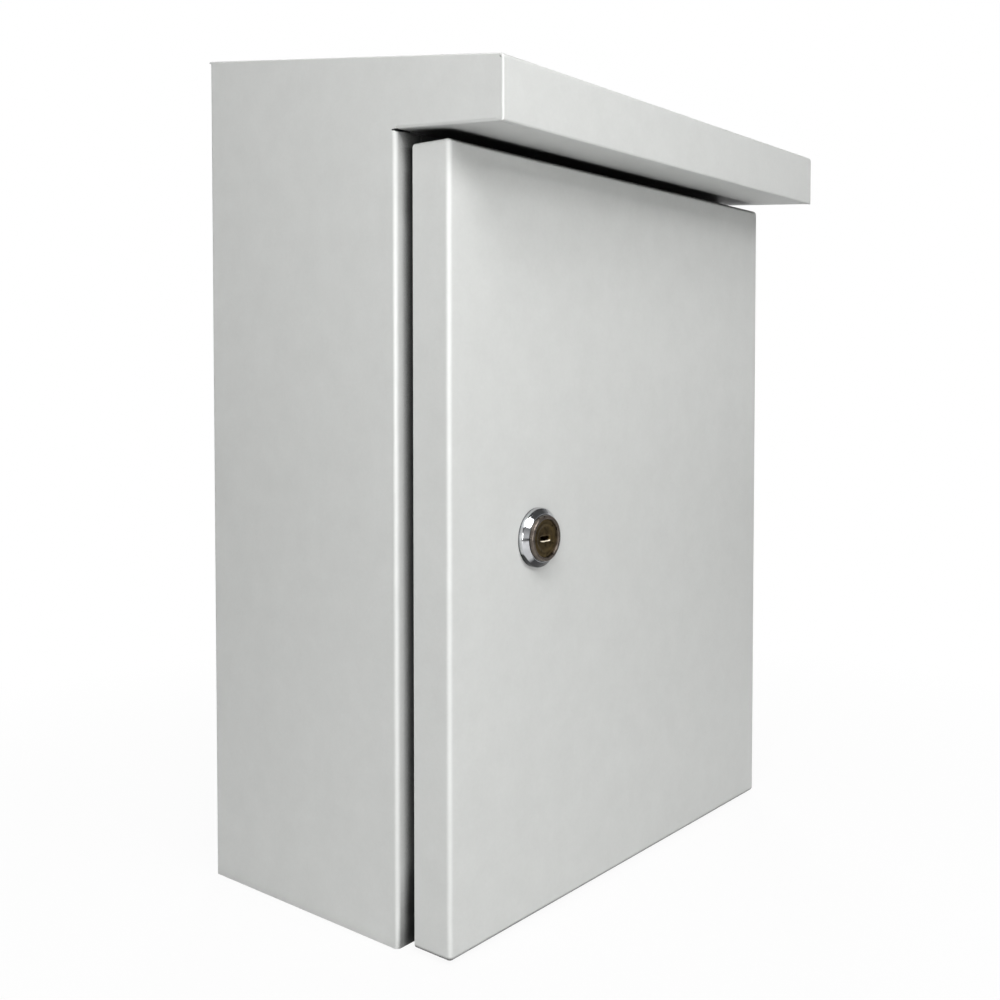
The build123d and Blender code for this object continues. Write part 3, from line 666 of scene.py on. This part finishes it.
# Door seal
# A bead of black polyurethane foam, laid on the inside of the door in one run and cured in place. Its
# crown is flattened where it meets the lip of the rim.
seal_low, seal_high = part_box("door_seal")
seal_width = 12 * mm
seal_corner = 8 * mm
seal_step = 5 * mm
seal_wobble = 0.12 * mm
seal_half = seal_width / 2
seal_thick = seal_high.y - seal_low.y
seal_shares = [(1.0, 0.0), (1.0, 0.35), (0.93, 0.62), (0.76, 0.84), (0.5, 0.95), (0.2, 0.975)]
seal_edge = [(seal_half * offset, seal_thick * rise) for offset, rise in seal_shares]
seal_section = [(-offset, rise) for offset, rise in seal_edge]
seal_section += reversed(seal_edge)
seal_middle = (seal_low + seal_high) / 2
seal_middle.y = seal_low.y
seal_path = rounded_path(
    seal_middle,
    x_axis,
    z_axis,
    (seal_high.x - seal_low.x) / 2 - seal_half,
    (seal_high.z - seal_low.z) / 2 - seal_half,
    seal_corner,
    seal_step,
)
seal_mesh = bmesh.new()
sweep(seal_mesh, seal_path, seal_section, y_axis, seal_wobble)
door_foam = make_piece("door_seal_foam", seal_mesh, crease=60.0)
fit(door_foam, black_foam, "door", "black_foam", "door_seal")

# Door earth stud
# A zinc-plated stud welded to the inside of the door near the hinges, with a toothed washer and a nut
# for an earth lead.
door_stud_low, door_stud_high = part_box("door_earth_stud")
door_washer_low, door_washer_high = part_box("door_earth_washer")
door_nut_low, door_nut_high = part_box("door_earth_nut")
door_foot = (door_stud_low + door_stud_high) / 2
door_foot.y = door_stud_low.y
door_stud_length = door_stud_high.y - door_stud_low.y
door_stud_mesh = bmesh.new()
weld_stud(door_stud_mesh, stud_radius, stud_pitch, earth_thread, door_stud_length, door_foot, y_axis, x_axis)
door_stud = make_piece("door_earth_thread", door_stud_mesh)
fit(door_stud, zinc_plate, "door", "zinc_fastener", "door_earth_stud")
door_washer_mesh = bmesh.new()
door_washer_thick = door_washer_high.y - door_washer_low.y
toothed_washer(door_washer_mesh, washer_radius, washer_bore, door_washer_thick, door_foot, y_axis, x_axis)
door_washer = make_piece("door_toothed_washer", door_washer_mesh)
fit(door_washer, zinc_plate, "door", "zinc_fastener", "door_earth_washer")
door_nut_mesh = bmesh.new()
door_nut_seat = Vector((door_foot.x, door_nut_low.y, door_foot.z))
door_nut_thick = door_nut_high.y - door_nut_low.y
hexagon_nut(door_nut_mesh, nut_flats, door_nut_thick, stud_radius, door_nut_seat, y_axis, x_axis)
door_nut = make_piece("door_hexagon_nut", door_nut_mesh)
fit(door_nut, zinc_plate, "door", "zinc_fastener", "door_earth_nut")

# Lock bezel
# A turned and chromed brass ring with a wide cone, clamped between the lock's head and the door skin. Its
# colour has painted shade along its foot and a painted dark reflection on the side that faces down.
chrome_group, chrome_in, chrome_out = new_group("bright_chrome")
chrome_haze = object_noise(chrome_group, 320.0, 3.0)
# painted shade: the chrome's colour darkens at its foot, where the door closes in around it
chrome_foot_shade = ramp(chrome_group, openness(chrome_group, 2 * mm), first=0.55, last=0.9, low=0.08, high=1.0)
chrome_facing = chrome_group.nodes.new("ShaderNodeTexCoord")
chrome_axes = axes_of(chrome_group, chrome_facing.outputs["Normal"])
# painted dark reflection: the chrome's colour darkens on the side that faces down
chrome_underside_shade = ramp(chrome_group, chrome_axes["Z"], first=-0.5, last=-0.42, low=0.1, high=1.0)
chrome_shade = spread(chrome_group, chrome_haze, 0.95, 1.05)
for chrome_mark in (chrome_foot_shade, chrome_underside_shade):
    chrome_shade = combine(chrome_group, "MULTIPLY", chrome_shade, chrome_mark)
chrome_colour = shaded(chrome_group, chrome_in.outputs["Colour"], chrome_shade)
chrome_gloss = spread(chrome_group, chrome_haze, 0.06, 0.14)
chrome_lines = object_noise(chrome_group, 1800.0, 2.0)
hand_over(chrome_group, chrome_out, chrome_colour, chrome_gloss, chrome_lines)
bright_chrome = finish("bright_chrome_plate", chrome_group, (0.62, 0.63, 0.65), 0.004 * mm, metallic=1.0)

bezel_low, bezel_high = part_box("lock_bezel")
bezel_radius = (bezel_high.x - bezel_low.x) / 2
bezel_stand = bezel_high.y - bezel_low.y
bezel_bore = 11.3 * mm
bezel_top = 11.7 * mm
lock_seat = (bezel_low + bezel_high) / 2
lock_seat.y = bezel_high.y
bezel_profile = [
    (bezel_bore, 0.0),
    (bezel_radius, 0.0),
    (bezel_radius, 2.0 * mm),
    (bezel_radius - 0.1 * mm, 2.35 * mm),
    (bezel_radius - 0.36 * mm, 2.68 * mm),
    (bezel_radius - 0.5 * mm, 2.79 * mm),
    (bezel_top + 0.42 * mm, bezel_stand - 0.345 * mm),
    (bezel_top + 0.26 * mm, bezel_stand - 0.22 * mm),
    (bezel_top + 0.1 * mm, bezel_stand - 0.06 * mm),
    (bezel_top - 0.1 * mm, bezel_stand),
    (bezel_bore, bezel_stand),
]
bezel_mesh = bmesh.new()
turn(bezel_mesh, bezel_profile, lock_seat, -y_axis, x_axis, steps=96, closed=True)
bezel = make_piece("lock_bezel_cone", bezel_mesh, crease=28.0)
fit(bezel, bright_chrome, "door", "chrome", "lock_bezel")

# Lock housing
# A turned brass head and threaded barrel with two flats that stop it turning in the door. The head has a
# dark bronze finish that is rubbed brighter in places.
bronze_group = hazed_group(
    "dark_bronzed_brass",
    haze=(420.0, 4.0),
    tone=(0.7, 1.3),
    gloss=(0.24, 0.4),
    grain=(1600.0, 3.0),
)
dark_bronze = finish("dark_bronzed_brass", bronze_group, (0.17, 0.145, 0.125), 0.01 * mm, metallic=1.0)

housing_low, housing_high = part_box("lock_housing")
plug_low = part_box("lock_plug")[0]
head_front = housing_low.y - bezel_high.y
face_depth = plug_low.y - housing_low.y
head_radius = 11.2 * mm
face_radius = 9.3 * mm
face_bore = face_radius + 0.05 * mm
face_seat = head_front + face_depth + 3.05 * mm
barrel_radius = 9.5 * mm
barrel_flat = 8.5 * mm
barrel_pitch = 1.0 * mm
barrel_chamfer = 0.5 * mm
core_radius = 7.05 * mm
barrel_length = housing_high.y - bezel_high.y


def flatted(radius):
    def reach(angle):
        limit = barrel_flat / max(abs(math.sin(angle)), 0.0001)
        return min(radius, limit)

    return reach


barrel_crest = flatted(barrel_radius)
barrel_groove = flatted(barrel_radius - 0.35 * mm)
housing_profile = [
    (core_radius, barrel_length),
    (flatted(barrel_radius - barrel_chamfer), barrel_length),
]
thread_at = barrel_length - barrel_chamfer
while thread_at > 1.6 * mm:
    housing_profile.append((barrel_crest, thread_at))
    housing_profile.append((barrel_crest, thread_at - 0.2 * mm))
    housing_profile.append((barrel_groove, thread_at - 0.5 * mm))
    housing_profile.append((barrel_groove, thread_at - 0.6 * mm))
    thread_at -= barrel_pitch
housing_profile += [
    (barrel_crest, 1.2 * mm),
    (barrel_crest, 0.0),
    (head_radius, 0.0),
    (head_radius, head_front + 0.6 * mm),
    (head_radius - 0.1 * mm, head_front + 0.3 * mm),
    (head_radius - 0.3 * mm, head_front + 0.1 * mm),
    (head_radius - 0.6 * mm, head_front),
    (face_radius + 0.55 * mm, head_front),
    (face_radius + 0.2 * mm, head_front + 0.12 * mm),
    (face_bore, head_front + 0.4 * mm),
    (face_bore, face_seat),
    (core_radius, face_seat),
]
housing_mesh = bmesh.new()
turn(housing_mesh, housing_profile, lock_seat, y_axis, x_axis, steps=96, closed=True)
housing = make_piece("lock_head_and_barrel", housing_mesh, crease=30.0)
fit(housing, dark_bronze, "door", "dark_brass", "lock_housing")

# Lock washer and nut
# A toothed steel washer and a thin hexagon nut that clamp the barrel from inside the door.
lock_washer_low, lock_washer_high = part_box("lock_washer")
lock_nut_low, lock_nut_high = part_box("lock_nut")
lock_washer_mesh = bmesh.new()
toothed_washer(
    lock_washer_mesh,
    (lock_washer_high.x - lock_washer_low.x) / 2,
    barrel_radius + 0.1 * mm,
    lock_washer_high.y - lock_washer_low.y,
    Vector((lock_seat.x, lock_washer_low.y, lock_seat.z)),
    y_axis,
    x_axis,
)
lock_tooth_washer = make_piece("lock_toothed_washer", lock_washer_mesh)
fit(lock_tooth_washer, zinc_plate, "door", "zinc_fastener", "lock_washer")
lock_nut_mesh = bmesh.new()
hexagon_nut(
    lock_nut_mesh,
    lock_nut_high.z - lock_nut_low.z,
    lock_nut_high.y - lock_nut_low.y,
    barrel_radius,
    Vector((lock_seat.x, lock_nut_low.y, lock_seat.z)),
    y_axis,
    x_axis,
)
lock_thin_nut = make_piece("lock_hexagon_nut", lock_nut_mesh)
fit(lock_thin_nut, zinc_plate, "door", "zinc_fastener", "lock_nut")

# Lock plug
# The turning core in olive patinated brass: a dished face with a keyway across it, a round stem through the
# barrel and a square tail for the cam. The lower lip of the keyway has a painted highlight in pale brass.
olive_brass = finish("olive_patinated_brass", bronze_group, (0.105, 0.076, 0.034), 0.01 * mm, metallic=1.0)
# painted highlight: a pale, non-metallic brass for the lower lip of the keyway
lip_highlight_brass = finish("painted_lip_highlight_brass", bronze_group, (0.86, 0.78, 0.62), 0.01 * mm)
face_thick = 3.0 * mm
dish_radius = 7.0 * mm
stem_radius = 7.0 * mm
tail_half = 3.5 * mm
keyway_half = 3.7 * mm
keyway_low = 1.2 * mm
keyway_depth = 7.0 * mm
lip_highlight_first = 0.32 * mm
lip_highlight_last = 0.66 * mm
screw_bore = 2.05 * mm
plug_centre = Vector((lock_seat.x, plug_low.y, lock_seat.z))
cam_low, cam_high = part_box("lock_cam")
stem_end = cam_low.y - plug_low.y
tail_end = cam_high.y - plug_low.y
bore_end = tail_end - 6.2 * mm


def slot(half_length, half_height, softness):
    def reach(angle):
        along = abs(math.cos(angle)) / half_length
        across = abs(math.sin(angle)) / half_height
        return 1.0 / (along ** softness + across ** softness) ** (1.0 / softness)

    return reach


def square(half_side):
    def reach(angle):
        return half_side / max(abs(math.cos(angle)), abs(math.sin(angle)))

    return reach


plug_profile = [
    (0, keyway_depth),
    (slot(keyway_half - 0.4 * mm, keyway_low - 0.35 * mm, 8.0), keyway_depth),
    (slot(keyway_half - 0.3 * mm, keyway_low - 0.25 * mm, 8.0), 0.9 * mm),
    (slot(keyway_half, keyway_low, 7.0), 0.65 * mm),
    (slot(keyway_half + 0.55 * mm, keyway_low + 0.5 * mm, 5.0), 0.3 * mm),
    (slot(5.6 * mm, 5.0 * mm, 2.2), 0.28 * mm),
    (dish_radius - 0.7 * mm, 0.22 * mm),
    (dish_radius - 0.3 * mm, 0.05 * mm),
    (dish_radius, 0.0),
    (face_radius - 0.5 * mm, 0.0),
    (face_radius - 0.12 * mm, 0.12 * mm),
    (face_radius, 0.4 * mm),
    (face_radius, face_thick),
    (stem_radius, face_thick),
    (stem_radius, stem_end),
    (square(tail_half), stem_end),
    (square(tail_half), tail_end),
    (screw_bore, tail_end),
    (screw_bore, bore_end),
    (0, bore_end),
]
plug_mesh = bmesh.new()
turn(plug_mesh, plug_profile, plug_centre, y_axis, x_axis, steps=64)
# the faces on the keyway's lower lip get the painted highlight
for facet in plug_mesh.faces:
    spot = facet.calc_center_median() - plug_centre
    if spot.z < -keyway_low * 0.9 and abs(spot.x) < keyway_half and lip_highlight_first < spot.y < lip_highlight_last:
        facet.material_index = 1
plug = make_piece("lock_plug_core", plug_mesh, crease=30.0)
fit(plug, olive_brass, "lock", "dark_brass", "lock_plug")
plug.data.materials.append(lip_highlight_brass)

# Lock cam and its screw
# A stamped zinc-plated steel tongue on the plug's square tail. A pan head screw with a cross recess
# holds it.
dress("lock_cam", zinc_plate)
screw_low, screw_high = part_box("cam_screw")
screw_radius = (screw_high.x - screw_low.x) / 2
screw_head = screw_high.y - cam_high.y
screw_seat = Vector((lock_seat.x, cam_high.y, lock_seat.z))
shank_radius = 2.0 * mm
shank_end = -5.6 * mm
shank_chamfer = 0.4 * mm


def cross(reach_long, reach_short):
    def reach(angle):
        lobe = abs(math.cos(2 * angle)) ** 3
        return reach_short + (reach_long - reach_short) * lobe

    return reach


screw_profile = [
    (0, shank_end),
    (shank_radius - shank_chamfer, shank_end),
    (shank_radius, shank_end + shank_chamfer),
    (shank_radius, 0.0),
    (screw_radius, 0.0),
    (screw_radius, screw_head * 0.45),
    (screw_radius * 0.96, screw_head * 0.66),
    (screw_radius * 0.85, screw_head * 0.84),
    (screw_radius * 0.68, screw_head * 0.95),
    (cross(2.5 * mm, 1.1 * mm), screw_head),
    (cross(2.3 * mm, 0.95 * mm), screw_head - 0.15 * mm),
    (cross(0.9 * mm, 0.4 * mm), screw_head - 1.6 * mm),
    (0, screw_head - 1.7 * mm),
]
screw_mesh = bmesh.new()
turn(screw_mesh, screw_profile, screw_seat, y_axis, x_axis, steps=64)
cam_fixing = make_piece("cam_pan_head_screw", screw_mesh, crease=40.0)
fit(cam_fixing, zinc_plate, "lock", "zinc_fastener", "cam_screw")

# Studio
# A pale floor in a white surround with a darker ceiling, and four softboxes: the key high at the front left,
# a small one before the door, a low one on the left, and one behind for the back and the right side.
floor_mesh = bmesh.new()
bmesh.ops.create_grid(floor_mesh, x_segments=1, y_segments=1, size=4.0)
floor = make_piece("studio_floor", floor_mesh)
floor.location.z = -0.4 * mm
floor_paint = bpy.data.materials.new("studio_floor_paint")
floor_paint.use_nodes = True
floor_tree = floor_paint.node_tree
floor_shader = floor_tree.nodes["Principled BSDF"]
floor_shader.inputs["Base Color"].default_value = (0.8, 0.8, 0.8, 1.0)
floor_shader.inputs["Roughness"].default_value = 0.9
floor_glow = floor_tree.nodes.new("ShaderNodeEmission")
floor_glow.inputs["Strength"].default_value = 1.0
floor_sight = floor_tree.nodes.new("ShaderNodeLightPath")
floor_place = floor_tree.nodes.new("ShaderNodeTexCoord")
floor_reach = floor_tree.nodes.new("ShaderNodeVectorMath")
floor_reach.operation = "LENGTH"
floor_tree.links.new(floor_place.outputs["Object"], floor_reach.inputs[0])
floor_fade = ramp(floor_tree, floor_reach.outputs["Value"], first=0.15, last=0.55, low=0.93, high=1.0)
floor_share = combine(floor_tree, "MULTIPLY", floor_sight.outputs["Is Camera Ray"], floor_fade)
floor_mix = floor_tree.nodes.new("ShaderNodeMixShader")
floor_tree.links.new(floor_share, floor_mix.inputs["Fac"])
floor_tree.links.new(floor_shader.outputs["BSDF"], floor_mix.inputs[1])
floor_tree.links.new(floor_glow.outputs["Emission"], floor_mix.inputs[2])
floor_tree.links.new(floor_mix.outputs["Shader"], floor_tree.nodes["Material Output"].inputs["Surface"])
floor.data.materials.append(floor_paint)

world = bpy.data.worlds.new("studio_surround")
bpy.context.scene.world = world
world.use_nodes = True
world_tree = world.node_tree
ambient = world_tree.nodes["Background"]
ambient.inputs["Color"].default_value = (1.0, 1.0, 1.0, 1.0)
ambient.inputs["Strength"].default_value = 0.05
white = world_tree.nodes.new("ShaderNodeBackground")
white.inputs["Color"].default_value = (1.0, 1.0, 1.0, 1.0)
white.inputs["Strength"].default_value = 1.0
sight = world_tree.nodes.new("ShaderNodeLightPath")
heading = world_tree.nodes.new("ShaderNodeTexCoord")
heading_axes = axes_of(world_tree, heading.outputs["Generated"])
ceiling = ramp(world_tree, heading_axes["Z"], first=0.1, last=0.55, low=0.6, high=0.03)
mirrored = combine(world_tree, "MULTIPLY", sight.outputs["Is Glossy Ray"], ceiling)
seen = combine(world_tree, "MAXIMUM", sight.outputs["Is Camera Ray"], mirrored)
surround = world_tree.nodes.new("ShaderNodeMixShader")
world_tree.links.new(seen, surround.inputs["Fac"])
world_tree.links.new(ambient.outputs["Background"], surround.inputs[1])
world_tree.links.new(white.outputs["Background"], surround.inputs[2])
world_tree.links.new(surround.outputs["Shader"], world_tree.nodes["World Output"].inputs["Surface"])
studio_aim = Vector((0.0, 0.0, 0.2))


def soft_light(name, place, side, power):
    lamp = bpy.data.lights.new(name, "AREA")
    lamp.shape = "SQUARE"
    lamp.size = side
    lamp.energy = power
    light = bpy.data.objects.new(name, lamp)
    bpy.context.scene.collection.objects.link(light)
    light.location = place
    light.rotation_euler = (studio_aim - Vector(place)).to_track_quat("-Z", "Y").to_euler()


soft_light("key_softbox", (-0.62, -0.51, 1.09), side=0.6, power=9.2)
soft_light("front_softbox", (-0.142, -1.008, 0.836), side=0.4, power=4.8)
soft_light("low_softbox", (-1.02, -0.62, 0.305), side=0.4, power=4.2)
soft_light("rear_softbox", (0.95, 0.85, 0.4), side=0.6, power=10.0)

camera_data = bpy.data.cameras.new("photo_camera")
camera_data.sensor_width = 36.0
camera_data.lens = 42.2218
camera_data.shift_y = -0.077
camera = bpy.data.objects.new("photo_camera", camera_data)
bpy.context.scene.collection.objects.link(camera)
camera.location = (-0.53315, -0.41062, 0.26217)
camera.rotation_euler = Euler((math.radians(88.04), 0.0, math.radians(-50.7153)))
bpy.context.scene.camera = camera
bpy.context.scene.view_settings.view_transform = "Standard"
